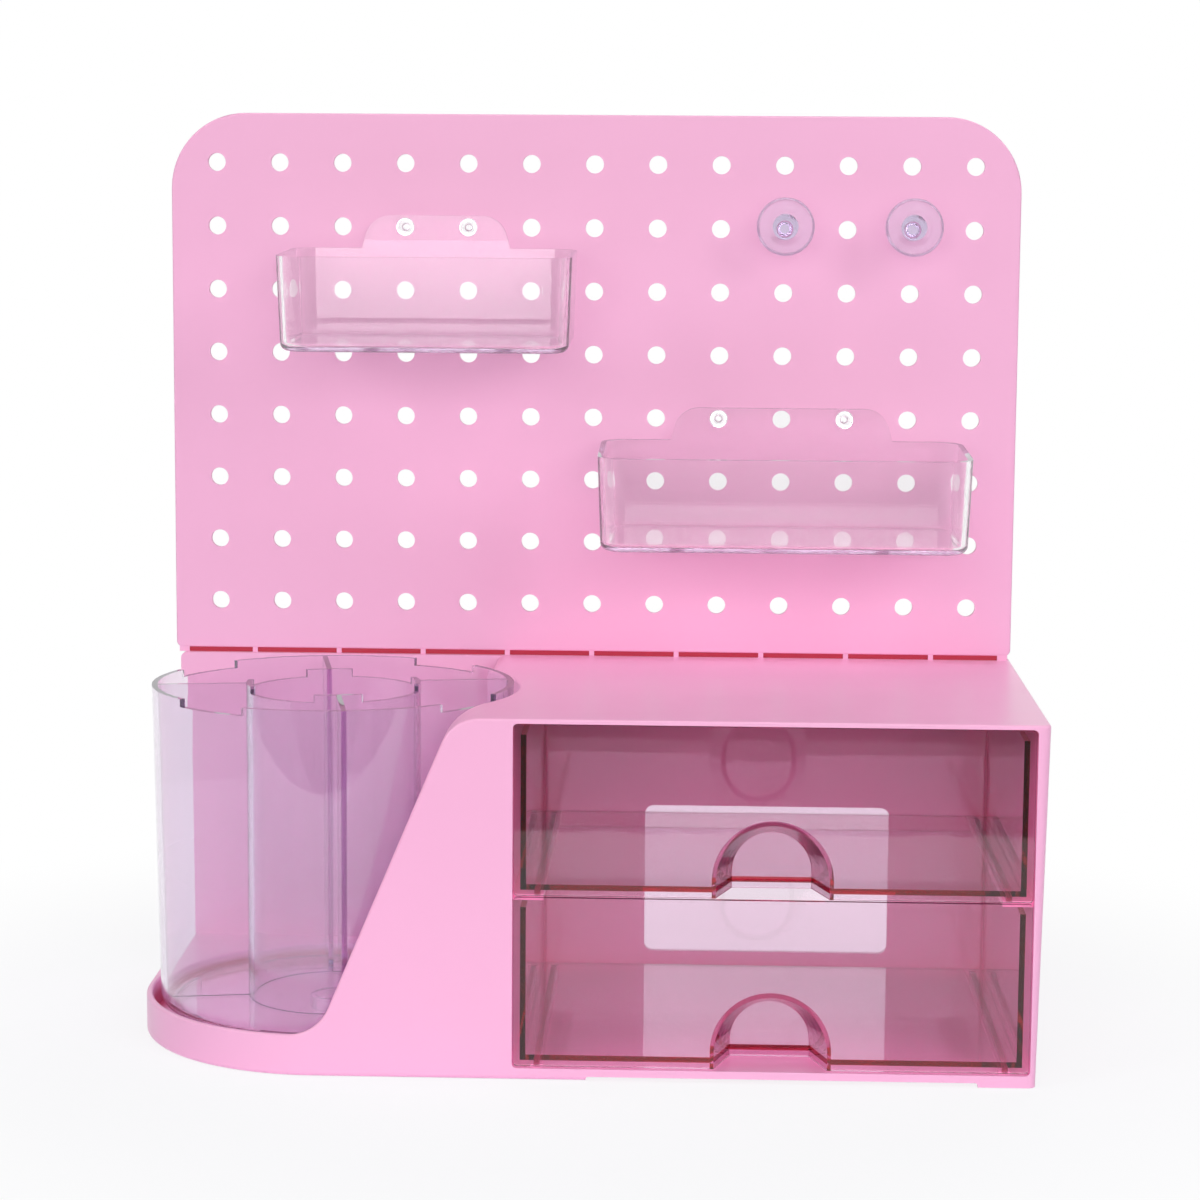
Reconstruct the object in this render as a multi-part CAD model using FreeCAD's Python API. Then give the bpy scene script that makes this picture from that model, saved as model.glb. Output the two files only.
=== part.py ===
"""Desk organizer with a pegboard, two drawers and a divided pen cup.

Millimetres, +Z up, front towards -Y. The origin is under the middle of the
whole object, at the height of its feet. Each piece is written to parts/.
"""
import FreeCAD, Part
import math
import os

from FreeCAD import Vector

# ---- pegboard ----
pitch = 21.0
columns = 13
rows = 8
hole_radius = 3.0
board_side_margin = 15.2
board_end_margin = 16.2
board_thickness = 2.5
board_top_round = 25.0
board_bottom_round = 2.0
board_edge_round = 0.6
board_gap = 1.5                # between the housing top and the board's bottom edge
tongue_inset = 4.1             # the tongue is narrower than the board by this at each end
tongue_step = 0.5              # and stands behind the board's face
tongue_clearance = 0.2
tongue_foot_gap = 0.4
end_pad_width = 3.4
end_pad_inset = 1.0
spacer_rib = 1.7               # small ribs keep the board off the housing top
spacer_pitch = 28.6
spacers_each_side = 4
spacer_setback = 0.1           # behind the board's face

# ---- housing: one pink moulding with the drawer bay and the cup tray ----
housing_depth = 134.0
housing_height = 110.0
board_inset = 0.1              # the board stands in from the housing's rear corners
side_taper = 1.0               # the sides close in by this towards the front
side_draft = 2.0               # and by this towards the foot
wall = 2.0
edge_round = 0.8
side_edge_round = 2.5          # upright front corner
platform_height = 12.6         # left part, beside the drawers
platform_run = 17.8            # level part of the front wall, left of the slope
tray_radius = 59.7             # outside of the round tray, the front left corner
tray_wall = 2.1
tray_floor_top = 4.5
tray_floor_thickness = 2.2
foot_round = 1.5               # bottom edge round the tray
foot_wall = 2.1                # right side wall where it stands on the desk
recess_draft = 1.2             # the cup recess opens by this much upwards
recess_wall = 1.66             # between the recess and the drawer bay, where it is thinnest
recess_lip_round = 0.8
cheek_round = 2.5
cheek_inset = 11.5             # straight cheek behind the recess, in from its widest point
slope_foot_from_axis = 1.5     # front wall: where the slope meets the platform
slope_top_from_bay = 18.1      # and where it would meet the top
slope_foot_round = 13.4
slope_top_round = 12.3
slope_wall = 2.4
hollow_start = 20.0            # from the cup's axis back to the hollows behind the recess

# ---- drawer bay ----
bay_side_wall = 1.8            # beside the bay, at the foot
bay_floor_z = 3.6
bay_top_wall = 1.4
bay_corner_round = 1.5
bay_back_gap = 7.0             # from the bay's back wall to the rear edge
floor_thickness = 2.2
ledge_width = 9.2
ledge_thickness = 1.8
relief_height = 1.3            # the underside is raised between the feet
relief_round = 0.8
relief_from_bay_left = 22.2
relief_from_bay_right = 15.5
side_relief_length = 85.8
window_width = 82.6
window_height = 50.6
window_off_middle = 1.1
window_sill = 5.3              # above the bay's floor
window_round = 3.0

# ---- back: open hollow behind the bay, socket for the board's tongue ----
back_skin = 2.3
socket_depth = 12.5
socket_band_floor = 2.0

# ---- drawers: clear mouldings, both alike ----
drawer_gap = 0.4               # beside and above the front plates
drawer_foot_gap = 0.6          # below the lower plate
drawer_seam = 0.6              # between the two plates
plate_thickness = 1.8
plate_setback = 0.4
plate_round = 1.0
tub_inset = 1.9
tub_wall = 1.7
drawer_back_gap = 11.6         # behind the tub, to the bay's back wall
tub_below_plate_top = 3.1
drawer_floor_lift = 1.6        # underside above the plate's bottom edge
drawer_floor_thickness = 1.7
runner_width = 1.8
runner_inset = 7.4             # from the bay's side to the runner's middle
runner_lift = 0.1              # runner's foot above the plate's bottom edge
runner_end_gap = 4.0           # the runner stops short of the tub's back
rail_start = 0.8               # ledges and strips begin this far behind the plates
strip_width = 3.6
tub_corner_round = 3.0
tub_inner_round = 1.6
pull_radius = 17.0
pull_centre_lift = 5.2
pull_back_radius = 12.0
pull_depth = 15.0
pull_wall = 1.7

# ---- pen cup ----
cup_play = 1.8                 # between the cup's rim and the top of the recess
cup_draft = 1.9                # the cup is narrower at the foot by this
cup_heel_round = 4.0
cup_floor_round = 2.2
cup_wall = 1.8
cup_above_housing = 1.1
cup_floor_lift = 4.3           # underside above the tray's floor
cup_floor_thickness = 1.8
cup_ring_radius = 27.5         # outside of the round middle compartment
cup_divider = 1.6
cup_turn = 10.0                # dividers stand turned by this angle at rest
divider_count = 4
rim_step = 2.4
rim_band = 8.0                 # the steps are cut in this much of the radius
rim_raised_half_angle = 32.0
ring_raised_half_angle = 16.0
foot_ring_width = 1.8
foot_ring_half_angle = 30.0
pivot_radius = 6.0
pivot_fit = 0.08
pivot_height = 3.4
pivot_round = 1.0
pivot_socket_wall = 1.8
pivot_socket_lift = 0.4

# ---- hanging trays ----
tray_depth = 55.0
tub_height = 30.3
tray_lean = 2.5                # degrees, dropping towards the front
tray_skin = 1.8
tray_draft = 1.1
tray_corner = 9.0
tray_foot_corner = 8.0
tray_bottom_round = 2.6
tray_inner_round = 1.2
ear_above_peg = 3.9
rim_below_peg = 6.9
ear_flare = 4.0
ear_corner_round = 8.5
peg_play = 0.25                # radial, in the board's holes
peg_beyond_board = 2.5
peg_tip_bevel = 0.6
peg_dimple_radius = 2.0
peg_dimple_depth = 1.2
hang_gap = 0.3                 # between the board's face and what hangs on it
small_tray_width = 94.4
small_tray_ear_margin = 15.0   # the ear reaches this far beyond the pegs
small_tray_columns = (3, 4)
small_tray_row = 1
large_tray_width = 119.8
large_tray_ear_margin = 16.8
large_tray_columns = (8, 10)
large_tray_row = 4

# ---- knobs ----
knob_row = 1
knob_columns = (9, 11)
knob_head_radius = 9.5
knob_head_thickness = 3.2
knob_reach = 17.0
knob_neck_radius = 3.2
knob_neck_flare = 1.2
knob_collar_radius = 5.0
knob_collar_thickness = 1.6
knob_collar_round = 0.9
knob_rim_round = 1.3
knob_rise = 1.0                # the head sits above the peg's axis
knob_dish = 1.0
knob_dish_half_width = 6.7

bite = 0.5                     # how far joined pieces reach into each other

# ---- worked out from the above ----
front_y = -housing_depth / 2
rear_y = housing_depth / 2
board_half_width = (columns - 1) * pitch / 2 + board_side_margin
rear_half_width = board_half_width + board_inset
front_half_width = rear_half_width - side_taper
tongue_half_width = board_half_width - tongue_inset
socket_half_width = tongue_half_width + tongue_clearance
bay_top_z = housing_height - bay_top_wall
bay_back_y = rear_y - bay_back_gap
skin_back_y = bay_back_y + back_skin
tongue_front_y = skin_back_y + tongue_clearance
board_front_y = tongue_front_y - tongue_step
board_back_y = board_front_y + board_thickness
board_bottom_z = housing_height + board_gap
peg_radius = hole_radius - peg_play
peg_tip_y = board_back_y + peg_beyond_board
spacer_front_y = board_front_y + spacer_setback
tongue_foot_z = housing_height - socket_depth + tongue_foot_gap
bottom_row_z = board_bottom_z + board_end_margin
top_row_z = bottom_row_z + (rows - 1) * pitch
plates_room = bay_top_z - drawer_gap - bay_floor_z - drawer_foot_gap
plate_height = (plates_room - drawer_seam) / 2
drawer_pitch = plate_height + drawer_seam
plate_front_y = front_y + plate_setback
plate_back_y = plate_front_y + plate_thickness
rail_front_y = plate_back_y + rail_start
cup_axis_y = front_y + tray_radius
side_slope = (rear_half_width - front_half_width) / housing_depth


def side_x(y, z=0.0):
    """Half width of the housing at depth y and height z."""
    at_top = rear_half_width - side_slope * (rear_y - y)
    return at_top - side_draft * (1 - z / housing_height)


cup_axis_x = -side_x(cup_axis_y, platform_height / 2) + tray_radius
recess_foot_radius = tray_radius - tray_wall
recess_top_radius = recess_foot_radius + recess_draft
bay_left_x = cup_axis_x + recess_top_radius + recess_wall
bay_right_x = front_half_width - side_draft - bay_side_wall
bay_width = bay_right_x - bay_left_x
bay_middle_x = bay_left_x + bay_width / 2
runner_from_middle = bay_width / 2 - runner_inset
cheek_x = cup_axis_x + recess_top_radius - cheek_inset
slope_foot_x = cup_axis_x + slope_foot_from_axis
slope_top_x = bay_left_x - slope_top_from_bay
cup_rim_radius = recess_top_radius - cup_play
cup_foot_radius = cup_rim_radius - cup_draft
cup_top_z = housing_height + cup_above_housing
cup_under_z = tray_floor_top + cup_floor_lift
cup_floor_z = cup_under_z + cup_floor_thickness


def hole_x(column):
    return (column - (columns - 1) / 2) * pitch


def hole_z(row):
    return top_row_z - row * pitch


# ---- small drawing helpers ----
def outline(corners):
    """Closed wire in the XY plane from (x, y) or (x, y, radius) corners."""
    points = [Vector(c[0], c[1], 0) for c in corners]
    radii = [c[2] if len(c) > 2 else 0.0 for c in corners]
    edges = []
    starts = []
    ends = []
    middles = []
    count = len(points)
    for i in range(count):
        here = points[i]
        back = (points[i - 1] - here).normalize()
        ahead = (points[(i + 1) % count] - here).normalize()
        if radii[i] == 0:
            starts.append(here)
            ends.append(here)
            middles.append(None)
            continue
        half = back.getAngle(ahead) / 2
        reach = radii[i] / math.tan(half)
        bisector = (back + ahead).normalize()
        centre = here + bisector * (radii[i] / math.sin(half))
        starts.append(here + back * reach)
        ends.append(here + ahead * reach)
        middles.append(centre - bisector * radii[i])
    for i in range(count):
        if middles[i] is not None:
            edges.append(Part.Arc(starts[i], middles[i], ends[i]).toShape())
        after = (i + 1) % count
        if (ends[i] - starts[after]).Length > 1e-6:
            edges.append(Part.LineSegment(ends[i], starts[after]).toShape())
    return Part.Wire(edges)


def rectangle(x0, x1, y0, y1, radius=0.0):
    return [(x0, y0, radius), (x1, y0, radius), (x1, y1, radius), (x0, y1, radius)]


def prism(corners, z0, z1):
    """Plan outline raised from z0 to z1."""
    face = Part.Face(outline(corners))
    face.translate(Vector(0, 0, z0))
    return face.extrude(Vector(0, 0, z1 - z0))


def upright(corners, y):
    """Wire in the XZ plane at depth y, from (x, z) corners."""
    wire = outline(corners)
    wire.rotate(Vector(0, 0, 0), Vector(1, 0, 0), 90)
    wire.translate(Vector(0, y, 0))
    return wire


def slab(corners, y0, y1):
    """Front view outline run from depth y0 to depth y1."""
    return Part.Face(upright(corners, y0)).extrude(Vector(0, y1 - y0, 0))


def box(x0, x1, y0, y1, z0, z1):
    return Part.makeBox(x1 - x0, y1 - y0, z1 - z0, Vector(x0, y0, z0))


def cone(x, y, z0, z1, r0, r1):
    return Part.makeCone(r0, r1, z1 - z0, Vector(x, y, z0))


def cylinder(x, y, z0, z1, radius):
    return Part.makeCylinder(radius, z1 - z0, Vector(x, y, z0))


def rod(x, z, y0, y1, radius):
    """Round bar along the depth."""
    return Part.makeCylinder(radius, y1 - y0, Vector(x, y0, z), Vector(0, 1, 0))


def edges_where(shape, test):
    """Edges whose middle point passes the test."""
    found = []
    for edge in shape.Edges:
        middle = edge.valueAt((edge.FirstParameter + edge.LastParameter) / 2)
        if test(middle, edge):
            found.append(edge)
    return found


def near(a, b, tolerance=0.02):
    return abs(a - b) < tolerance


def save(name, shape):
    solid = shape.removeSplitter()
    solid.exportStep("parts/" + name + ".step")
    print(name, len(solid.Solids), "solid", round(solid.Volume / 1000, 2), "cm3", solid.isValid())


# ---- housing ----
def front_profile(half_width):
    """Front view of the housing right of the tray: foot, slope, top and right side."""
    under = platform_height / 2
    left = slope_foot_x - platform_run
    foot = bay_left_x + relief_from_bay_left
    return [
        (foot, 0), (foot, under), (left, under), (left, platform_height),
        (slope_foot_x, platform_height, slope_foot_round),
        (slope_top_x, housing_height, slope_top_round),
        (half_width, housing_height), (half_width - side_draft, 0)]


def on_front_wall(point):
    """True on the outer face of the front: the flat part or round the tray."""
    if point.x > cup_axis_x:
        return near(point.y, front_y)
    from_axis = math.hypot(point.x - cup_axis_x, point.y - cup_axis_y)
    return point.y < cup_axis_y and abs(from_axis - tray_radius) < 0.6


def housing_envelope():
    """The outside, with the cup recess cut and the edges rounded."""
    left_rear = -side_x(rear_y, platform_height / 2)
    left_front = -side_x(front_y, platform_height / 2)
    far = 2 * rear_half_width
    tray_corner_at = (left_front, front_y, tray_radius)
    base = prism([(left_rear, rear_y), tray_corner_at, (bay_middle_x, front_y),
                  (bay_middle_x, rear_y)], 0, platform_height)
    foot = edges_where(base, lambda p, e: near(p.z, 0) and p.x < bay_middle_x - 1
                       and not near(p.y, rear_y))
    base = base.makeFillet(foot_round, foot)
    trim = prism([(left_rear, rear_y), tray_corner_at, (far, front_y), (far, rear_y)],
                 0, housing_height)
    block = Part.makeLoft([upright(front_profile(front_half_width), front_y),
                           upright(front_profile(rear_half_width), rear_y)], True, True)
    block = block.common(trim)
    back = slab([(left_rear, 0), (0, 0), (0, housing_height),
                 (left_rear, housing_height, board_bottom_round)], bay_back_y, rear_y)
    recess = cone(cup_axis_x, cup_axis_y, tray_floor_top, housing_height + 1,
                  recess_foot_radius, recess_top_radius)
    behind = box(-far, cheek_x, cup_axis_y, bay_back_y, platform_height, housing_height + 1)
    body = base.fuse([block, back]).removeSplitter()
    body = body.cut(recess.fuse(behind)).removeSplitter()
    cheek = edges_where(body, lambda p, e: near(p.x, cheek_x) and e.Length > cheek_round
                        and p.z > housing_height - cheek_round)
    body = body.makeFillet(cheek_round, cheek)
    lip = edges_where(body, lambda p, e: near(p.z, housing_height)
                      and abs(math.hypot(p.x - cup_axis_x, p.y - cup_axis_y)
                              - recess_top_radius) < 0.1)
    body = body.makeFillet(recess_lip_round, lip)
    corner = edges_where(body, lambda p, e: near(p.y, front_y) and p.x > front_half_width - 2)
    body = body.makeFillet(side_edge_round, corner)
    face = edges_where(body, lambda p, e: p.z > platform_height - 0.1 and on_front_wall(p))
    return body.makeFillet(edge_round, face)


def under_slope():
    """Hollow under the slope, between the front wall, the recess and the bay."""
    right = bay_left_x - wall
    top = slope_top_x + slope_wall
    foot = slope_foot_x + slope_wall
    hollow = slab([(right, -1), (right, housing_height - wall),
                   (top, housing_height - wall, slope_top_round),
                   (foot, platform_height - wall), (foot, -1)], front_y + wall, cup_axis_y)
    return hollow.cut(cylinder(cup_axis_x, cup_axis_y, -2, housing_height, recess_top_radius + wall))


def behind_recess():
    """Hollow behind the recess, open below like the rest of the moulding."""
    right = bay_left_x - wall
    left = -side_x(rear_y, 0) + wall
    front = cup_axis_y + hollow_start
    low = box(left, right, front, bay_back_y - wall, -1, platform_height - wall)
    high = box(cheek_x + wall, right, front, bay_back_y - wall, -1, housing_height - wall)
    return low.fuse(high).cut(cylinder(cup_axis_x, cup_axis_y, -2, housing_height,
                                       recess_top_radius + wall))


def housing():
    body = housing_envelope()
    bay = slab(rectangle(bay_left_x, bay_right_x, bay_floor_z, bay_top_z, bay_corner_round),
               front_y - 1, bay_back_y)
    body = body.cut([bay, under_slope(), behind_recess()])

    # open underside: below the tray floor and below the bay floor
    tray_under = tray_floor_top - tray_floor_thickness
    bay_under = bay_floor_z - floor_thickness
    under_tray = cylinder(cup_axis_x, cup_axis_y, -1, tray_under, recess_foot_radius - wall)
    side_foot_x = front_half_width - side_draft - foot_wall
    under_bay = box(bay_left_x + wall, side_foot_x, front_y + wall, rear_y - wall, -1, bay_under)
    front_relief = slab(rectangle(bay_left_x + relief_from_bay_left,
                                  bay_right_x - relief_from_bay_right,
                                  -relief_height, relief_height, relief_round),
                        front_y - 1, rear_y + 1)
    side_relief = box(bay_middle_x, rear_half_width + 1, -side_relief_length / 2,
                      side_relief_length / 2, -1, relief_height)
    body = body.cut([under_tray, under_bay, front_relief, side_relief])

    # back: window, socket for the board's tongue, open hollow below it
    window_left = bay_middle_x + window_off_middle - window_width / 2
    window_foot = bay_floor_z + window_sill
    window = slab(rectangle(window_left, window_left + window_width,
                            window_foot, window_foot + window_height, window_round),
                  bay_back_y - 1, skin_back_y + 1)
    socket = box(-socket_half_width, socket_half_width, skin_back_y,
                 board_back_y + tongue_clearance, housing_height - socket_depth, housing_height + 1)
    pocket_top = housing_height - socket_depth - socket_band_floor
    edge_wall = side_x(rear_y) - wall
    back_hollow = box(-edge_wall, edge_wall, skin_back_y, rear_y + 1, bay_floor_z, pocket_top)
    body = body.cut([window, socket, back_hollow])

    # ledges for the upper drawer, strips for the lower one
    ledge_top = bay_floor_z + drawer_foot_gap + drawer_pitch + runner_lift
    rails = []
    for side in (-1, 1):
        inner = bay_middle_x + side * (bay_width / 2 - ledge_width)
        outer = bay_middle_x + side * (bay_width / 2 + bite)
        rails.append(box(min(inner, outer), max(inner, outer), rail_front_y, bay_back_y + bite,
                         ledge_top - ledge_thickness, ledge_top))
        strip = bay_middle_x + side * runner_from_middle
        rails.append(box(strip - strip_width / 2, strip + strip_width / 2, rail_front_y,
                         bay_back_y, bay_floor_z - bite, ledge_top - drawer_pitch))
    pivot = cylinder(cup_axis_x, cup_axis_y, tray_floor_top - bite,
                     tray_floor_top + pivot_height, pivot_radius)
    tip = edges_where(pivot, lambda p, e: near(p.z, tray_floor_top + pivot_height))
    pivot = pivot.makeFillet(pivot_round, tip)
    return body.fuse(rails + [pivot])


# ---- pegboard ----
def pegboard():
    half = board_half_width
    top = top_row_z + board_end_margin
    panel = slab([(-half, board_bottom_z, board_bottom_round),
                  (half, board_bottom_z, board_bottom_round),
                  (half, top, board_top_round), (-half, top, board_top_round)],
                 board_front_y, board_back_y)
    rim = edges_where(panel, lambda p, e: near(p.y, board_front_y))
    panel = panel.makeFillet(board_edge_round, rim)
    holes = []
    for row in range(rows):
        for column in range(columns):
            holes.append(rod(hole_x(column), hole_z(row), board_front_y - 1, board_back_y + 1,
                             hole_radius))
    panel = panel.cut(Part.makeCompound(holes))
    pieces = [box(-tongue_half_width, tongue_half_width, tongue_front_y, board_back_y,
                  tongue_foot_z, board_bottom_z + bite)]
    for i in range(-spacers_each_side, spacers_each_side + 1):
        x = i * spacer_pitch
        pieces.append(box(x - spacer_rib / 2, x + spacer_rib / 2, spacer_front_y,
                          tongue_front_y + bite, housing_height, board_bottom_z + bite))
    for side in (-1, 1):
        outer = side * (half - end_pad_inset)
        inner = side * (half - end_pad_inset - end_pad_width)
        pieces.append(box(min(inner, outer), max(inner, outer), spacer_front_y, board_back_y,
                          housing_height, board_bottom_z + bite))
    return panel.fuse(pieces)


# ---- drawers ----
def arch(radius, foot_z, centre_z, y):
    """Arch outline standing at depth y: straight legs and a round head."""
    left_foot = Vector(bay_middle_x - radius, y, foot_z)
    right_foot = Vector(bay_middle_x + radius, y, foot_z)
    left_top = Vector(bay_middle_x - radius, y, centre_z)
    right_top = Vector(bay_middle_x + radius, y, centre_z)
    crown = Vector(bay_middle_x, y, centre_z + radius)
    return Part.Wire([Part.LineSegment(left_foot, right_foot).toShape(),
                      Part.LineSegment(right_foot, right_top).toShape(),
                      Part.Arc(right_top, crown, left_top).toShape(),
                      Part.LineSegment(left_top, left_foot).toShape()])


def pull_pocket(grow, foot_z, plate_bottom, depth):
    """Tapered finger pocket, or its outer skin when grown by the wall."""
    centre = plate_bottom + pull_centre_lift
    mouth = arch(pull_radius + grow, foot_z, centre, plate_front_y)
    back = arch(pull_back_radius + grow, foot_z, centre, plate_front_y + depth)
    return Part.makeLoft([mouth, back], True, True)


def drawer(level):
    """level 0 is the lower drawer, 1 the upper one."""
    bottom = bay_floor_z + drawer_foot_gap + level * drawer_pitch
    top = bottom + plate_height
    left = bay_left_x + drawer_gap
    right = bay_right_x - drawer_gap
    plate_middle = plate_front_y + plate_thickness / 2
    plate = slab(rectangle(left, right, bottom, top, plate_round), plate_front_y, plate_back_y)

    floor_under = bottom + drawer_floor_lift
    tub_top = top - tub_below_plate_top
    tub_back = bay_back_y - drawer_back_gap
    outside = prism([(left + tub_inset, plate_middle), (right - tub_inset, plate_middle),
                     (right - tub_inset, tub_back, tub_corner_round),
                     (left + tub_inset, tub_back, tub_corner_round)], floor_under, tub_top)
    inside_left = left + tub_inset + tub_wall
    inside_right = right - tub_inset - tub_wall
    inside = prism([(inside_left, plate_middle), (inside_right, plate_middle),
                    (inside_right, tub_back - tub_wall, tub_inner_round),
                    (inside_left, tub_back - tub_wall, tub_inner_round)],
                   floor_under + drawer_floor_thickness, tub_top + 1)
    runners = []
    for side in (-1, 1):
        x = bay_middle_x + side * runner_from_middle
        runners.append(box(x - runner_width / 2, x + runner_width / 2, plate_back_y - bite,
                           tub_back - runner_end_gap, bottom + runner_lift, floor_under + bite))
    tub = outside.cut(inside).fuse([plate] + runners)

    # finger pocket: an arch open below, its skin reaching back into the drawer
    skin = pull_pocket(pull_wall, bottom, bottom, pull_depth + pull_wall)
    room = pull_pocket(0.0, bottom - 1, bottom, pull_depth)
    return tub.fuse(skin).cut(room)


# ---- pen cup ----
def sector(radius, start, sweep, z0, z1):
    """Pie slice about the cup's axis, angles in degrees."""
    slice_ = Part.makeCylinder(radius, z1 - z0, Vector(cup_axis_x, cup_axis_y, z0),
                               Vector(0, 0, 1), sweep)
    slice_.rotate(Vector(cup_axis_x, cup_axis_y, 0), Vector(0, 0, 1), start)
    return slice_


def pen_cup():
    top = cup_top_z
    under = cup_under_z
    lean = cup_draft / (top - under)

    def radius_at(z):
        return cup_foot_radius + lean * (z - under)

    shell = cone(cup_axis_x, cup_axis_y, under, top, radius_at(under), radius_at(top))
    heel = edges_where(shell, lambda p, e: near(p.z, under))
    shell = shell.makeFillet(cup_heel_round, heel)
    inside = cone(cup_axis_x, cup_axis_y, cup_floor_z, top + 1,
                  radius_at(cup_floor_z) - cup_wall, radius_at(top + 1) - cup_wall)
    inside = inside.makeFillet(cup_floor_round,
                               edges_where(inside, lambda p, e: near(p.z, cup_floor_z)))
    ring = cylinder(cup_axis_x, cup_axis_y, cup_floor_z - bite, top, cup_ring_radius)
    core = cylinder(cup_axis_x, cup_axis_y, cup_floor_z, top + 1, cup_ring_radius - cup_divider)
    fins = []
    for i in range(divider_count):
        fin = box(cup_ring_radius - cup_divider, cup_rim_radius, -cup_divider / 2,
                  cup_divider / 2, cup_floor_z - bite, top)
        fin.rotate(Vector(0, 0, 0), Vector(0, 0, 1), cup_turn + i * 360 / divider_count)
        fin.translate(Vector(cup_axis_x, cup_axis_y, 0))
        fins.append(fin)
    walls = ring.fuse(fins).cut(core).common(
        cone(cup_axis_x, cup_axis_y, under, top, radius_at(under) - bite, radius_at(top) - bite))
    cup = shell.cut(inside).fuse(walls)

    # rims stepped down between the raised arcs, which centre on the dividers
    steps = []
    spacing = 360 / divider_count
    for i in range(divider_count):
        start = cup_turn + i * spacing + rim_raised_half_angle
        outer = sector(cup_rim_radius + rim_band, start, spacing - 2 * rim_raised_half_angle,
                       top - rim_step, top + 1)
        steps.append(outer.cut(cylinder(cup_axis_x, cup_axis_y, top - rim_step - 1, top + 2,
                                        cup_rim_radius - rim_band)))
        start = cup_turn + i * spacing + ring_raised_half_angle
        inner = sector(cup_ring_radius + rim_step, start, spacing - 2 * ring_raised_half_angle,
                       top - rim_step, top + 1)
        steps.append(inner.cut(cylinder(cup_axis_x, cup_axis_y, top - rim_step - 1, top + 2,
                                        cup_ring_radius - rim_band)))
    cup = cup.cut(steps)

    # foot: four arcs of a ring to stand on, and the socket that turns on the pivot
    foot_outer = cup_foot_radius - cup_heel_round
    foot = []
    for i in range(divider_count):
        start = cup_turn + i * spacing - foot_ring_half_angle
        arc = sector(foot_outer, start, 2 * foot_ring_half_angle, tray_floor_top, under + bite)
        foot.append(arc.cut(cylinder(cup_axis_x, cup_axis_y, 0, cup_floor_z,
                                     foot_outer - foot_ring_width)))
    bore = pivot_radius + pivot_fit
    socket = cylinder(cup_axis_x, cup_axis_y, tray_floor_top + pivot_socket_lift, under + bite,
                      bore + pivot_socket_wall)
    socket = socket.cut(cylinder(cup_axis_x, cup_axis_y, tray_floor_top, under, bore))
    return cup.fuse(foot + [socket])


# ---- hanging trays ----
def hanging_tray(width, ear_margin, peg_columns, row):
    """Tub with a raised ear behind, hung by two pegs."""
    peg_z = hole_z(row)
    middle = (hole_x(peg_columns[0]) + hole_x(peg_columns[1])) / 2
    back = board_front_y - hang_gap
    front = back - tray_depth
    rim = peg_z - rim_below_peg
    under = rim - tub_height

    def plan(inset, z, radius):
        wire = outline([(middle - width / 2 + inset, front + inset, radius),
                        (middle + width / 2 - inset, front + inset, radius),
                        (middle + width / 2 - inset, back, radius),
                        (middle - width / 2 + inset, back, radius)])
        wire.translate(Vector(0, 0, z))
        return wire

    outside = Part.makeLoft([plan(tray_draft, under, tray_foot_corner),
                             plan(0.0, rim, tray_corner)], True, True)
    heel = edges_where(outside, lambda p, e: near(p.z, under))
    outside = outside.makeFillet(tray_bottom_round, heel)

    def hollow(inset, z, radius):
        wire = outline([(middle - width / 2 + inset, front + inset, radius),
                        (middle + width / 2 - inset, front + inset, radius),
                        (middle + width / 2 - inset, back - tray_skin, radius),
                        (middle - width / 2 + inset, back - tray_skin, radius)])
        wire.translate(Vector(0, 0, z))
        return wire

    floor = under + tray_skin
    inside = Part.makeLoft([hollow(tray_draft + tray_skin, floor, tray_foot_corner - tray_skin),
                            hollow(tray_skin, rim + 0.01, tray_corner - tray_skin)], True, True)
    crease = edges_where(inside, lambda p, e: near(p.z, floor))
    inside = inside.makeFillet(tray_inner_round, crease)
    tub = outside.cut(inside)

    half = (hole_x(peg_columns[1]) - hole_x(peg_columns[0])) / 2 + ear_margin
    ear = slab([(middle - half, rim - tray_bottom_round), (middle + half, rim - tray_bottom_round),
                (middle + half - ear_flare, peg_z + ear_above_peg, ear_corner_round),
                (middle - half + ear_flare, peg_z + ear_above_peg, ear_corner_round)],
               back - tray_skin, back)

    # the tray leans away from the board on its bottom edge, its pegs stay level
    tray = tub.fuse(ear)
    tray.rotate(Vector(middle, back, under), Vector(1, 0, 0), tray_lean)
    ear_front = back - tray_skin - (peg_z - under) * math.sin(math.radians(tray_lean))
    for column in peg_columns:
        peg = rod(hole_x(column), peg_z, ear_front + tray_skin / 2, peg_tip_y, peg_radius)
        peg = peg.makeChamfer(peg_tip_bevel, edges_where(peg, lambda p, e: near(p.y, peg_tip_y)))
        dimple = Part.makeCone(peg_dimple_radius, peg_dimple_radius / 4, peg_dimple_depth,
                               Vector(hole_x(column), ear_front, peg_z), Vector(0, 1, 0))
        tray = tray.fuse(peg).cut(dimple)
    return tray


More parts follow.
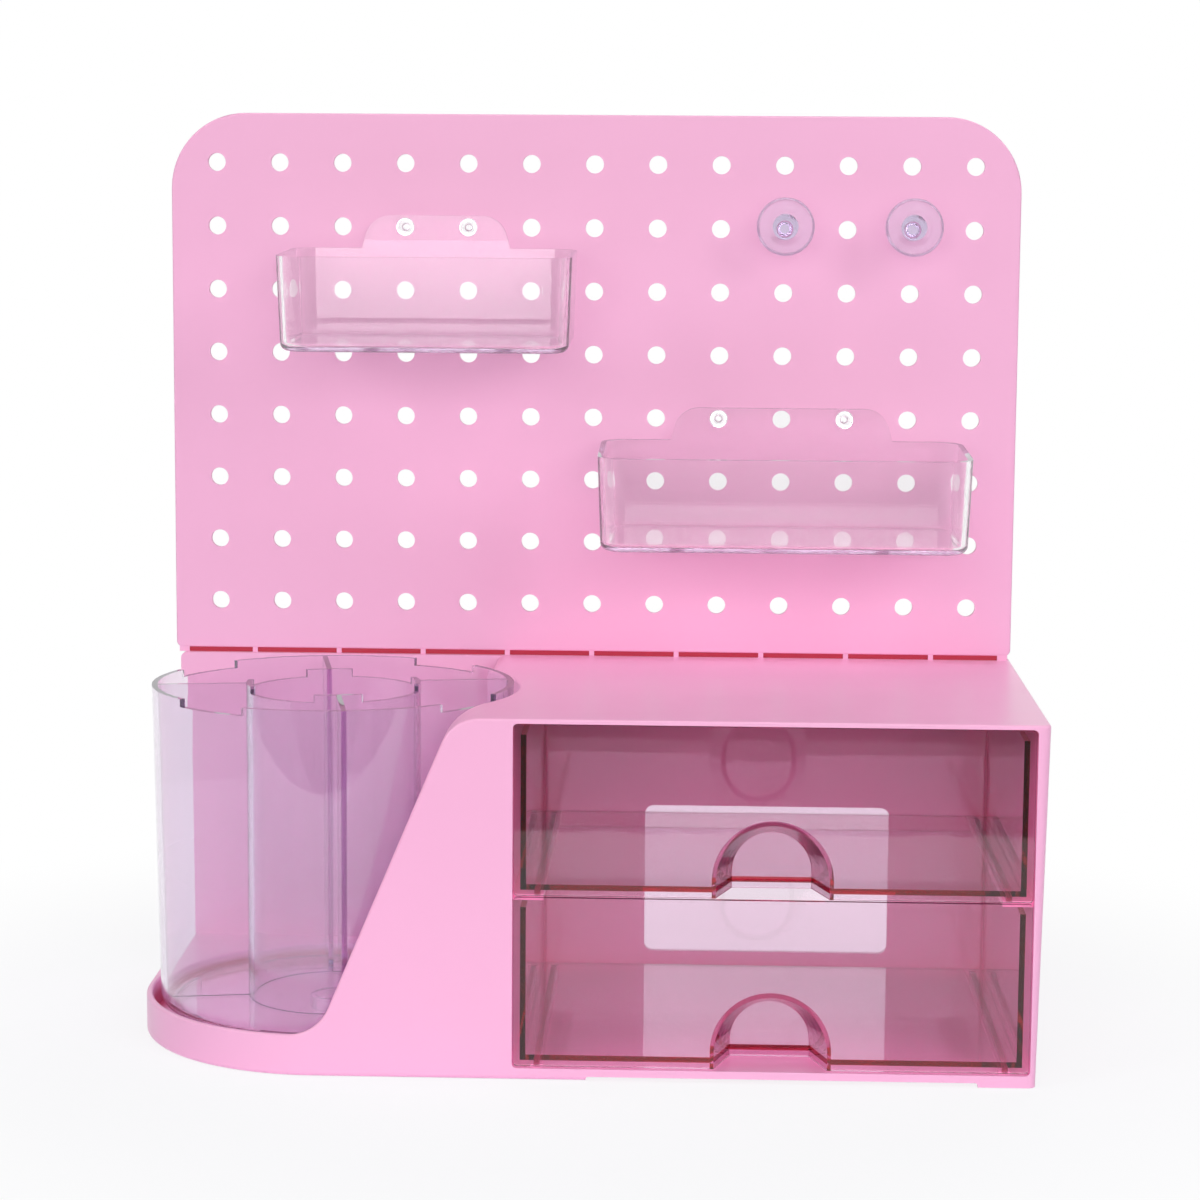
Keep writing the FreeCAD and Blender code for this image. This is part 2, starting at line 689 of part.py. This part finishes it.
# ---- knobs ----
def knob(column):
    """Turned profile about the peg's axis, with the head set slightly higher."""
    x = hole_x(column)
    z = hole_z(knob_row)
    face = board_front_y - hang_gap
    peg = rod(x, z, face - bite, peg_tip_y, peg_radius)
    peg = peg.makeChamfer(peg_tip_bevel, edges_where(peg, lambda p, e: near(p.y, peg_tip_y)))
    collar = rod(x, z, face - knob_collar_thickness, face, knob_collar_radius)
    rim = edges_where(collar, lambda p, e: near(p.y, face - knob_collar_thickness))
    collar = collar.makeFillet(knob_collar_round, rim)
    head_back = face - knob_reach + knob_head_thickness
    neck = Part.makeLoft([
        Part.Wire(Part.makeCircle(knob_neck_radius, Vector(x, face - bite, z), Vector(0, -1, 0))),
        Part.Wire(Part.makeCircle(knob_neck_radius + knob_neck_flare,
                                  Vector(x, head_back - bite, z + knob_rise),
                                  Vector(0, -1, 0)))], True, True)
    head = rod(x, z + knob_rise, face - knob_reach, head_back, knob_head_radius)
    rims = edges_where(head, lambda p, e: e.Closed and e.Length > 2 * knob_head_radius)
    head = head.makeFillet(knob_rim_round, rims)
    dish_radius = (knob_dish_half_width ** 2 + knob_dish ** 2) / (2 * knob_dish)
    dish = Part.makeSphere(dish_radius, Vector(x, face - knob_reach - dish_radius + knob_dish,
                                               z + knob_rise))
    return head.cut(dish).fuse([neck, collar, peg])


os.makedirs("parts", exist_ok=True)
save("housing", housing())
save("pegboard", pegboard())
save("drawer_lower", drawer(0))
save("drawer_upper", drawer(1))
save("pen_cup", pen_cup())
save("small_tray", hanging_tray(small_tray_width, small_tray_ear_margin, small_tray_columns,
                                small_tray_row))
save("large_tray", hanging_tray(large_tray_width, large_tray_ear_margin, large_tray_columns,
                                large_tray_row))
save("knob_left", knob(knob_columns[0]))
save("knob_right", knob(knob_columns[1]))
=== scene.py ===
"""Desk organizer: pink housing and pegboard, smoky drawers, clear pen cup, trays and knobs."""
import bpy
import math
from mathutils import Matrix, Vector

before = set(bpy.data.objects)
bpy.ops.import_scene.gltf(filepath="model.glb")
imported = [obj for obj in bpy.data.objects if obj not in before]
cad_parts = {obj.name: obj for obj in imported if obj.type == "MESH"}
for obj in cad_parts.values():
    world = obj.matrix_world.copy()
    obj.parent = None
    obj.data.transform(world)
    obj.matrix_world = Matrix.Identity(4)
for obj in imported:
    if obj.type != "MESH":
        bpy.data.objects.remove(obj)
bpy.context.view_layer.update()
scene = bpy.context.scene
scene.view_settings.view_transform = "Standard"


# ---- camera: in front, a little right of the middle and just below the board's top edge,
# looking slightly down
lens_data = bpy.data.cameras.new("front_camera")
lens_data.sensor_width = 36.0
lens_data.lens = 89.4
lens_data.clip_start = 0.05
lens_data.clip_end = 40.0
camera = bpy.data.objects.new("front_camera", lens_data)
scene.collection.objects.link(camera)
camera.location = (0.03484, -0.93587, 0.25865)
camera_tilt, camera_roll, camera_turn = 82.6047, -0.4066, 1.8971
camera.rotation_euler = [math.radians(a) for a in (camera_tilt, camera_roll, camera_turn)]
scene.camera = camera


# ---- studio: a white room whose front end is dark, so that clear plastic has something to mirror,
# and five large soft lamps: right, left, above, and two that aren't mirrored, in front and behind
def add_node(tree, kind, place=(0, 0), **inputs):
    """A node of this kind, with its plain input values set by name (spaces as underscores)."""
    made = tree.nodes.new(kind)
    made.location = place
    for name, value in inputs.items():
        made.inputs[name.replace("_", " ")].default_value = value
    return made


def join(tree, source, target):
    """Link one socket to another."""
    tree.links.new(source, target)


def maths(tree, operation, place, *values):
    """Math node; each value is a number or the socket that feeds it."""
    made = add_node(tree, "ShaderNodeMath", place)
    made.operation = operation
    for socket, value in zip(made.inputs, values):
        if isinstance(value, (int, float)):
            socket.default_value = value
        else:
            join(tree, value, socket)
    return made.outputs[0]


def ramp(tree, place, source, start, end, low, high):
    """Smooth change from low at start to high at end."""
    made = add_node(tree, "ShaderNodeMapRange", place)
    made.interpolation_type = "SMOOTHSTEP"
    for title, value in (("From Min", start), ("From Max", end),
                         ("To Min", low), ("To Max", high)):
        made.inputs[title].default_value = value
    join(tree, source, made.inputs["Value"])
    return made.outputs[0]


def blend(tree, place, factor, first, second):
    """Colour from first to second by factor; each is three numbers or a socket."""
    made = add_node(tree, "ShaderNodeMix", place)
    made.data_type = "RGBA"
    for title, colour in (("A", first), ("B", second)):
        if isinstance(colour, tuple):
            made.inputs[title].default_value = (*colour, 1)
        else:
            join(tree, colour, made.inputs[title])
    join(tree, factor, made.inputs["Factor"])
    return made.outputs["Result"]


room = bpy.data.worlds.new("white_room")
room.use_nodes = True
scene.world = room
room_tree = room.node_tree
room_tree.nodes.clear()
fill_strength = 0.12
fill = add_node(room_tree, "ShaderNodeBackground", (0, 0), Color=(1, 0.99, 1, 1),
                Strength=fill_strength)
backdrop = add_node(room_tree, "ShaderNodeBackground", (0, -140), Strength=1.0)
path = add_node(room_tree, "ShaderNodeLightPath", (-1100, 300))
direction = add_node(room_tree, "ShaderNodeTexCoord", (-1300, -200))
split = add_node(room_tree, "ShaderNodeSeparateXYZ", (-1100, -200))
join(room_tree, direction.outputs["Generated"], split.inputs[0])
room_front, room_back = -0.35, 0.15      # the room's dark end lies in front of the object
dark_end, white_end = (0.17, 0.17, 0.17), (1.0, 1.0, 1.0)
end_level = ramp(room_tree, (-900, -200), split.outputs["Y"], room_front, room_back, 0.0, 1.0)
reflected = maths(room_tree, "GREATER_THAN", (-850, 100), path.outputs["Glossy Depth"], 0.5)
straight = maths(room_tree, "SUBTRACT", (-650, 200), 1.0, reflected)
mirror_level = maths(room_tree, "MULTIPLY", (-650, -50), reflected, end_level)
white_level = maths(room_tree, "ADD", (-450, 50), straight, mirror_level)
join(room_tree, blend(room_tree, (-250, 50), white_level, dark_end, white_end),
     backdrop.inputs["Color"])
seen = maths(room_tree, "MAXIMUM", (-850, 400), path.outputs["Is Camera Ray"],
             path.outputs["Is Transmission Ray"])
sharp = maths(room_tree, "MAXIMUM", (-650, 400), seen, path.outputs["Is Glossy Ray"])
direct = maths(room_tree, "LESS_THAN", (-650, 560), path.outputs["Diffuse Depth"], 0.5)
not_diffuse = maths(room_tree, "MULTIPLY", (-450, 400), sharp, direct)
room_mix = add_node(room_tree, "ShaderNodeMixShader", (200, 0))
room_out = add_node(room_tree, "ShaderNodeOutputWorld", (400, 0))
join(room_tree, not_diffuse, room_mix.inputs[0])
join(room_tree, fill.outputs[0], room_mix.inputs[1])
join(room_tree, backdrop.outputs[0], room_mix.inputs[2])
join(room_tree, room_mix.outputs[0], room_out.inputs["Surface"])


def softbox(name, place, aim, width, height, watts, mirrored=True):
    """Large soft lamp at place, turned towards aim."""
    lamp_data = bpy.data.lights.new(name, "AREA")
    lamp_data.shape = "RECTANGLE"
    lamp_data.size, lamp_data.size_y = width, height
    lamp_data.energy = watts
    lamp = bpy.data.objects.new(name, lamp_data)
    lamp.location = place
    look = Vector(aim) - Vector(place)
    lamp.rotation_euler = look.to_track_quat("-Z", "Y").to_euler()
    lamp.visible_glossy = mirrored
    scene.collection.objects.link(lamp)
    return lamp


middle_of_it = (0.0, 0.0, 0.16)
softbox("lamp_right", (1.10, -1.06, 0.87), middle_of_it, width=0.55, height=0.75, watts=5.6)
softbox("lamp_left", (-1.20, -0.94, 0.82), middle_of_it, width=0.55, height=0.75, watts=5.2)
softbox("lamp_above", (0.0, -0.25, 1.7), middle_of_it, width=1.2, height=0.9, watts=8.2)
softbox("lamp_front", (0.0, -1.6, 0.42), middle_of_it, width=1.4, height=0.9, watts=13.0,
        mirrored=False)
lamp_behind = softbox("lamp_behind", (0.5, 1.7, 0.8), middle_of_it, width=1.0, height=0.8,
                      watts=9.0, mirrored=False)
lamp_behind.visible_transmission = False     # nor is it mirrored on the drawers' floors


# ---- floor: a pale sheet that keeps a faint shadow near the object and runs out into the
# white room; the eye, mirrors and clear plastic all see it alike
floor_half_width, floor_front, floor_back = 0.75, -0.43, 0.90
floor_drop = 0.0002                          # just below the feet
shade_end, white_start, shade_glow = 0.14, 0.33, 0.84
floor_mesh = bpy.data.meshes.new("floor")
floor_mesh.from_pydata([(-floor_half_width, floor_front, 0), (floor_half_width, floor_front, 0),
                        (floor_half_width, floor_back, 0), (-floor_half_width, floor_back, 0)],
                       [], [(0, 1, 2, 3)])
floor = bpy.data.objects.new("floor", floor_mesh)
floor.location.z = -floor_drop
scene.collection.objects.link(floor)
paper = bpy.data.materials.new("pale_floor")
paper.use_nodes = True
paper_tree = paper.node_tree
paper_tree.nodes.clear()
paper_diffuse = add_node(paper_tree, "ShaderNodeBsdfDiffuse", (0, 100),
                         Color=(0.87, 0.88, 0.98, 1))
paper_glow = add_node(paper_tree, "ShaderNodeEmission", (0, -100), Color=(1, 1, 1, 1),
                      Strength=1.0)
paper_path = add_node(paper_tree, "ShaderNodeLightPath", (-900, 300))
paper_place = add_node(paper_tree, "ShaderNodeTexCoord", (-1100, 0))
paper_far = add_node(paper_tree, "ShaderNodeVectorMath", (-900, 0))
paper_far.operation = "LENGTH"
join(paper_tree, paper_place.outputs["Object"], paper_far.inputs[0])
open_glow = ramp(paper_tree, (-650, 100), paper_far.outputs["Value"], shade_end, white_start,
                 shade_glow, 1.0)
paper_open = maths(paper_tree, "MAXIMUM", (-650, 350), paper_path.outputs["Is Camera Ray"],
                   paper_path.outputs["Is Glossy Ray"])
paper_seen = maths(paper_tree, "MAXIMUM", (-500, 350), paper_open,
                   paper_path.outputs["Is Transmission Ray"])
paper_factor = maths(paper_tree, "MULTIPLY", (-300, 250), paper_seen, open_glow)
paper_mix = add_node(paper_tree, "ShaderNodeMixShader", (200, 0))
paper_out = add_node(paper_tree, "ShaderNodeOutputMaterial", (400, 0))
join(paper_tree, paper_factor, paper_mix.inputs[0])
join(paper_tree, paper_diffuse.outputs[0], paper_mix.inputs[1])
join(paper_tree, paper_glow.outputs[0], paper_mix.inputs[2])
join(paper_tree, paper_mix.outputs[0], paper_out.inputs["Surface"])
floor_mesh.materials.append(paper)

# light goes on through many layers of clear plastic and along their edges
scene.cycles.transparent_max_bounces = 24
scene.cycles.max_bounces = 28
scene.cycles.diffuse_bounces = 16
scene.cycles.transmission_bounces = 20
scene.cycles.glossy_bounces = 20


# ---- housing: one satin pink injection moulding with the drawer bay, the slope and the cup
# tray; painted shade deepens its colour inside the bay and low in the cup's recess
def surface_group(name):
    """Group for moulded plastic: base colour with faint flow marks, uneven gloss, fine grain."""
    group = bpy.data.node_groups.new(name, "ShaderNodeTree")
    socket = group.interface.new_socket
    socket("Colour", in_out="INPUT", socket_type="NodeSocketColor")
    for title, value in (("Flow", 0.02), ("Flow Size", 25.0), ("Roughness", 0.4),
                         ("Gloss Change", 0.05), ("Grain Size", 2500.0), ("Grain", 0.3)):
        socket(title, in_out="INPUT", socket_type="NodeSocketFloat").default_value = value
    socket("Colour", in_out="OUTPUT", socket_type="NodeSocketColor")
    socket("Roughness", in_out="OUTPUT", socket_type="NodeSocketFloat")
    socket("Height", in_out="OUTPUT", socket_type="NodeSocketFloat")
    start = add_node(group, "NodeGroupInput", (-1200, 0))
    end = add_node(group, "NodeGroupOutput", (600, 0))
    place = add_node(group, "ShaderNodeTexCoord", (-1200, -300))

    def noise(y, size, detail, roughness):
        """Noise from 0 to 1 in the piece's own space."""
        made = add_node(group, "ShaderNodeTexNoise", (-900, y), Detail=detail,
                        Roughness=roughness)
        join(group, place.outputs["Object"], made.inputs["Vector"])
        join(group, size, made.inputs["Scale"])
        return made.outputs["Fac"]

    def both_ways(y, source):
        """The same noise from -1 to 1."""
        made = add_node(group, "ShaderNodeMapRange", (-650, y), To_Min=-1.0, To_Max=1.0)
        join(group, source, made.inputs["Value"])
        return made.outputs[0]

    flow = both_ways(200, noise(200, start.outputs["Flow Size"], detail=3.0, roughness=0.55))
    lift = maths(group, "MULTIPLY_ADD", (-450, 200), flow, start.outputs["Flow"], 1.0)
    tint = add_node(group, "ShaderNodeVectorMath", (-200, 200))
    tint.operation = "SCALE"
    join(group, start.outputs["Colour"], tint.inputs[0])
    join(group, lift, tint.inputs["Scale"])
    join(group, tint.outputs[0], end.inputs["Colour"])

    finer_than_flow = 3.7
    gloss_size = maths(group, "MULTIPLY", (-1050, -100), start.outputs["Flow Size"],
                       finer_than_flow)
    gloss = both_ways(-100, noise(-100, gloss_size, detail=4.0, roughness=0.6))
    rough = maths(group, "MULTIPLY_ADD", (-400, -100), gloss, start.outputs["Gloss Change"],
                  start.outputs["Roughness"])
    join(group, rough, end.inputs["Roughness"])

    grain = noise(-400, start.outputs["Grain Size"], detail=2.0, roughness=0.5)
    height = maths(group, "MULTIPLY", (-400, -400), grain, start.outputs["Grain"])
    join(group, height, end.inputs["Height"])
    return group


moulded = surface_group("moulded_plastic")


def place_group(tree, group, place, **values):
    """The group in this material, with its own values."""
    made = tree.nodes.new("ShaderNodeGroup")
    made.node_tree = group
    made.location = place
    for name, value in values.items():
        made.inputs[name.replace("_", " ")].default_value = value
    return made


def vector_maths(tree, operation, place, *values):
    """Vector math node; each value is three numbers or the socket that feeds it."""
    made = add_node(tree, "ShaderNodeVectorMath", place)
    made.operation = operation
    for socket, value in zip(made.inputs, values):
        if isinstance(value, (tuple, list)):
            socket.default_value = value
        else:
            join(tree, value, socket)
    return made.outputs["Value" if operation == "LENGTH" else "Vector"]


def box_mask(tree, low, high, soft, place, fixed):
    """1 inside the box, 0 outside, in the piece's own space or fixed in the room."""
    x, y = place
    half = [(b - a) / 2 for a, b in zip(low, high)]
    centre = [(a + b) / 2 for a, b in zip(low, high)]
    where = add_node(tree, "ShaderNodeNewGeometry" if fixed else "ShaderNodeTexCoord", place)
    shift = vector_maths(tree, "SUBTRACT", (x + 150, y),
                         where.outputs["Position" if fixed else "Object"], centre)
    size = vector_maths(tree, "ABSOLUTE", (x + 300, y), shift)
    less = vector_maths(tree, "SUBTRACT", (x + 450, y), size, half)
    axes = add_node(tree, "ShaderNodeSeparateXYZ", (x + 600, y))
    join(tree, less, axes.inputs[0])
    across = maths(tree, "MAXIMUM", (x + 750, y), axes.outputs[0], axes.outputs[1])
    worst = maths(tree, "MAXIMUM", (x + 900, y), across, axes.outputs[2])
    edge = add_node(tree, "ShaderNodeMapRange", (x + 1050, y))
    edge.inputs["From Min"].default_value = soft
    edge.inputs["From Max"].default_value = -soft
    join(tree, worst, edge.inputs["Value"])
    return edge.outputs[0]


def pink_moulding(name, colour, roughness, flow, flow_size, grain, grain_size,
                  low, high, soft, lower_shade_colour, upper_shade_colour, fixed):
    """Satin plastic whose colour deepens to a painted shade, from lower to upper colour, in the
    box from low to high.
    """
    material = bpy.data.materials.new(name)
    material.use_nodes = True
    tree = material.node_tree
    tree.nodes.clear()
    skin = place_group(tree, moulded, (-500, 0), Colour=(*colour, 1), Roughness=roughness,
                       Gloss_Change=0.05, Flow=flow, Flow_Size=flow_size, Grain=grain,
                       Grain_Size=grain_size)
    bump = add_node(tree, "ShaderNodeBump", (-250, -250), Strength=0.12, Distance=0.0001)
    shader = add_node(tree, "ShaderNodeBsdfPrincipled", (0, 0), IOR=1.5)
    out = add_node(tree, "ShaderNodeOutputMaterial", (300, 0))
    inside = box_mask(tree, low, high, soft, (-1500, 400), fixed)
    where = add_node(tree, "ShaderNodeTexCoord", (-1500, 100))
    axes = add_node(tree, "ShaderNodeSeparateXYZ", (-1300, 100))
    join(tree, where.outputs["Object"], axes.inputs[0])
    height = ramp(tree, (-1150, 100), axes.outputs[2], low[2], high[2], 0.0, 1.0)
    painted_shade_colour = blend(tree, (-950, 100), height, lower_shade_colour, upper_shade_colour)
    join(tree, blend(tree, (-750, 250), inside, colour, painted_shade_colour), skin.inputs["Colour"])
    join(tree, skin.outputs["Colour"], shader.inputs["Base Color"])
    join(tree, skin.outputs["Roughness"], shader.inputs["Roughness"])
    join(tree, skin.outputs["Height"], bump.inputs["Height"])
    join(tree, bump.outputs["Normal"], shader.inputs["Normal"])
    join(tree, shader.outputs[0], out.inputs["Surface"])
    return material


def dress(node, material):
    """The CAD node keeps its shape and takes this material in its slots."""
    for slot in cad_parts[node].material_slots:
        slot.material = material


bay_low, bay_high = (-0.0190, -0.0664, 0.0037), (0.1368, 0.0605, 0.1089)
# painted shade: inside the bay the pink deepens to a saturated red, darker towards the bay's top
# and lighter towards its floor
housing_pink = pink_moulding(
    "pink_housing", colour=(0.95, 0.47, 0.70), roughness=0.30, flow=0.015, flow_size=14.0,
    grain=0.35, grain_size=2600.0, low=bay_low, high=bay_high, soft=0.0004,
    lower_shade_colour=(0.97, 0.31, 0.60), upper_shade_colour=(0.93, 0.20, 0.44), fixed=False)

# painted shade: the wall and the outermost floor of the round recess are darkened to a deep red
# for the cup's shade
recess_x, recess_y, recess_radius = -0.07916, -0.0073, 0.0578
recess_low, recess_high = 0.0040, 0.0118
fade_start, fade_end = 0.0050, 0.0005        # in from the wall: where the shade starts and is full
wall_skin, rim_fade = 0.0006, 0.004          # its reach into the wall, and its fade below the rim
recess_painted_shade = (0.55, 0.07, 0.15)
tree = housing_pink.node_tree
where = add_node(tree, "ShaderNodeTexCoord", (-1500, 800))
from_axis = vector_maths(tree, "SUBTRACT", (-1300, 800), where.outputs["Object"],
                         (recess_x, recess_y, 0))
flat = vector_maths(tree, "MULTIPLY", (-1150, 800), from_axis, (1, 1, 0))
radius = vector_maths(tree, "LENGTH", (-1000, 800), flat)
height = add_node(tree, "ShaderNodeSeparateXYZ", (-1150, 1000))
join(tree, from_axis, height.inputs[0])
near_wall = ramp(tree, (-800, 800), radius, recess_radius - fade_start,
                 recess_radius - fade_end, 0.0, 1.0)
inside_wall = maths(tree, "LESS_THAN", (-800, 950), radius, recess_radius + wall_skin)
above_foot = maths(tree, "GREATER_THAN", (-950, 1100), height.outputs[2], recess_low)
below_rim = ramp(tree, (-800, 1100), height.outputs[2], recess_high - rim_fade, recess_high,
                 1.0, 0.0)
ring = maths(tree, "MULTIPLY", (-600, 900), near_wall, inside_wall)
band = maths(tree, "MULTIPLY", (-600, 1100), above_foot, below_rim)
recess_shade_mask = maths(tree, "MULTIPLY", (-400, 1000), ring, band)
base = tree.nodes["Principled BSDF"].inputs["Base Color"]
join(tree, blend(tree, (-200, 600), recess_shade_mask, base.links[0].from_socket, recess_painted_shade), base)
dress("housing", housing_pink)


# ---- pegboard: flat pink board with rows of round holes, standing in the housing's slot on small
# spacer ribs; the painted shade in the gap between them stays in its place when the board lifts
gap_low, gap_high = (-0.1385, 0.0622, 0.1098), (0.1385, 0.0640, 0.11155)
# painted shade: a deep red band on the board where it stands in the narrow gap above the housing
gap_painted_shade = (0.50, 0.028, 0.06)
board_pink = pink_moulding(
    "pink_board", colour=(0.95, 0.475, 0.71), roughness=0.42, flow=0.012, flow_size=9.0,
    grain=0.4, grain_size=2200.0, low=gap_low, high=gap_high, soft=0.00005,
    lower_shade_colour=gap_painted_shade, upper_shade_colour=gap_painted_shade, fixed=True)
dress("pegboard", board_pink)


# ---- drawers: two alike injection mouldings in smoky see-through plastic, each with a front
# plate, a finger pull, a tub and runners; the upper slides on ledges, the lower on the bay's floor
def clear_plastic(name, ior, roughness, tint, absorb, density, wave, wave_size, shade, clarity):
    """See-through plastic: glass for the eye, and shade's colour for light that falls through."""
    material = bpy.data.materials.new(name)
    material.use_nodes = True
    tree = material.node_tree
    tree.nodes.clear()
    uneven_share = 0.6
    skin = place_group(tree, moulded, (-500, 0), Colour=(*tint, 1), Roughness=roughness,
                       Gloss_Change=roughness * uneven_share, Flow=0.01, Flow_Size=20.0, Grain=1.0,
                       Grain_Size=wave_size)
    bump = add_node(tree, "ShaderNodeBump", (-250, -250), Strength=wave, Distance=0.001)
    shader = add_node(tree, "ShaderNodeBsdfPrincipled", (0, 0), IOR=ior)
    shader.inputs["Transmission Weight"].default_value = clarity
    light_path = add_node(tree, "ShaderNodeLightPath", (0, 400))
    passing = add_node(tree, "ShaderNodeBsdfTransparent", (0, 200), Color=(*shade, 1))
    mix = add_node(tree, "ShaderNodeMixShader", (300, 100))
    body = add_node(tree, "ShaderNodeVolumeAbsorption", (300, -200), Color=(*absorb, 1),
                    Density=density)
    out = add_node(tree, "ShaderNodeOutputMaterial", (550, 0))
    for source, target in ((skin.outputs["Colour"], shader.inputs["Base Color"]),
                           (skin.outputs["Roughness"], shader.inputs["Roughness"]),
                           (skin.outputs["Height"], bump.inputs["Height"]),
                           (bump.outputs["Normal"], shader.inputs["Normal"]),
                           (light_path.outputs["Is Shadow Ray"], mix.inputs[0]),
                           (shader.outputs[0], mix.inputs[1]),
                           (passing.outputs[0], mix.inputs[2]),
                           (mix.outputs[0], out.inputs["Surface"]),
                           (body.outputs[0], out.inputs["Volume"])):
        join(tree, source, target)
    return material


smoky = clear_plastic("smoky_plastic", ior=1.55, roughness=0.02, tint=(0.90, 0.87, 0.915),
                      absorb=(0.93, 0.28, 0.62), density=90.0, wave=0.02, wave_size=60.0,
                      shade=(1.0, 0.97, 0.99), clarity=0.99)
dress("drawer_upper", smoky)
dress("drawer_lower", smoky)


# ---- pen cup: one grey clear moulding with a round middle and four outer compartments; it
# turns on a small pivot in the recess
grey_clear = clear_plastic("grey_clear_plastic", ior=1.50, roughness=0.015,
                           tint=(0.95, 0.925, 0.96), absorb=(0.80, 0.64, 0.84), density=90.0,
                           wave=0.02, wave_size=50.0, shade=(1.0, 1.0, 1.0), clarity=0.97)
dress("pen_cup", grey_clear)


# ---- trays: clear moulded tubs, each hung by two pegs in the board's holes; their shadow is a
# little darker than their plastic, as refracted light falls behind them too
clear = clear_plastic("clear_plastic", ior=1.49, roughness=0.01, tint=(1.0, 0.99, 0.995),
                      absorb=(0.86, 0.80, 0.96), density=15.0, wave=0.015, wave_size=50.0,
                      shade=(0.70, 0.66, 0.70), clarity=0.97)
dress("small_tray", clear)
dress("large_tray", clear)


# ---- knobs: two clear round heads, each moulded in one with the peg that holds it in a hole
# of the board; their shadow is darker than their plastic for the same reason as the trays'
knob_clear = clear_plastic("knob_plastic", ior=1.49, roughness=0.01, tint=(0.93, 0.89, 0.95),
                           absorb=(0.70, 0.60, 0.78), density=60.0, wave=0.015,
                           wave_size=50.0, shade=(0.74, 0.70, 0.72), clarity=0.90)
dress("knob_left", knob_clear)
dress("knob_right", knob_clear)
